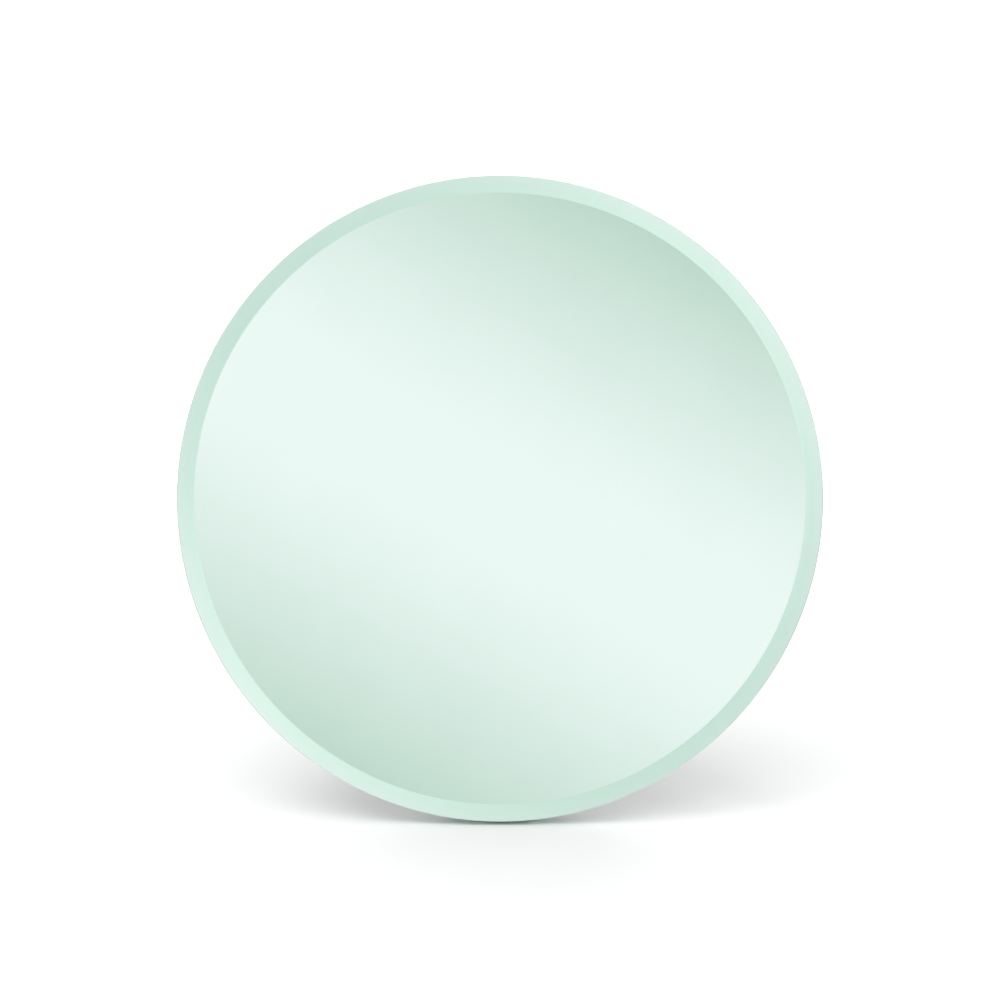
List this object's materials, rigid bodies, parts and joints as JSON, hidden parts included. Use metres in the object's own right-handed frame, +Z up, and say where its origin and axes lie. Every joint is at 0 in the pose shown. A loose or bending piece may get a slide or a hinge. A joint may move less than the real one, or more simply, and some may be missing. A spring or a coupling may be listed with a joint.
{
  "type": "countertop mirror",
  "caption": "Frameless round bevelled mirror that leans back on a folding strut with a friction hinge and tension knob, standing on rubber feet.",
  "frame": {"origin": "centre of the front foot's contact patch on the counter", "axes": "+Z up, +Y away from the viewer so the glass faces -Y, +X to the viewer's right; the hinge axis is parallel to X"},
  "size_m": [0.25, 0.1148, 0.2392],
  "materials": {
    "clear_glass": "polished",
    "silvering": "mirror",
    "backing_paint": "matt",
    "safety_film": "satin",
    "foam_tape": "matt",
    "board_laminate": "fine grained laminate",
    "cast_alloy": "satin cast",
    "screw_steel": "satin",
    "zinc_steel": "zinc plated",
    "knob_plastic": "matt",
    "brass": "turned",
    "satin_aluminium": "satin",
    "brushed_aluminium": "brushed and anodised",
    "white_nylon": "matt",
    "black_rubber": "matt"
  },
  "bodies": {
    "mirror": {"mirror_glass": "clear_glass", "silver_coating": "silvering", "backing_paint": "backing_paint", "safety_film": "safety_film", "bonding_tape": "foam_tape", "back_board": "board_laminate", "board_inserts": "brass", "fold_bumpers": "black_rubber", "hinge_bracket": "cast_alloy", "hinge_bracket_screws": "screw_steel", "hinge_pin": "screw_steel", "spring_washer": "screw_steel", "flat_washer": "screw_steel", "foot_bracket": "zinc_steel", "foot_bracket_screws": "screw_steel", "front_foot": "black_rubber", "front_foot_rivets": "satin_aluminium"},
    "strut": {"strut_arm": "brushed_aluminium", "hinge_bushes": "white_nylon", "strut_foot": "black_rubber", "strut_foot_rivets": "satin_aluminium"},
    "knob": {"tension_knob": "knob_plastic", "knob_insert": "brass", "knob_cap": "satin_aluminium"}
  },
  "joints": [
    {"name": "strut_fold", "type": "hinge", "parent": "mirror", "child": "strut", "pos_m": [0, 0.05818, 0.15252], "axis": [1, 0, 0], "range_deg": [-33, 0]},
    {"name": "tension_knob_turn", "type": "hinge", "parent": "mirror", "child": "knob", "pos_m": [0, 0.05818, 0.15252], "axis": [1, 0, 0], "range_deg": [0, 360]}
  ]
}
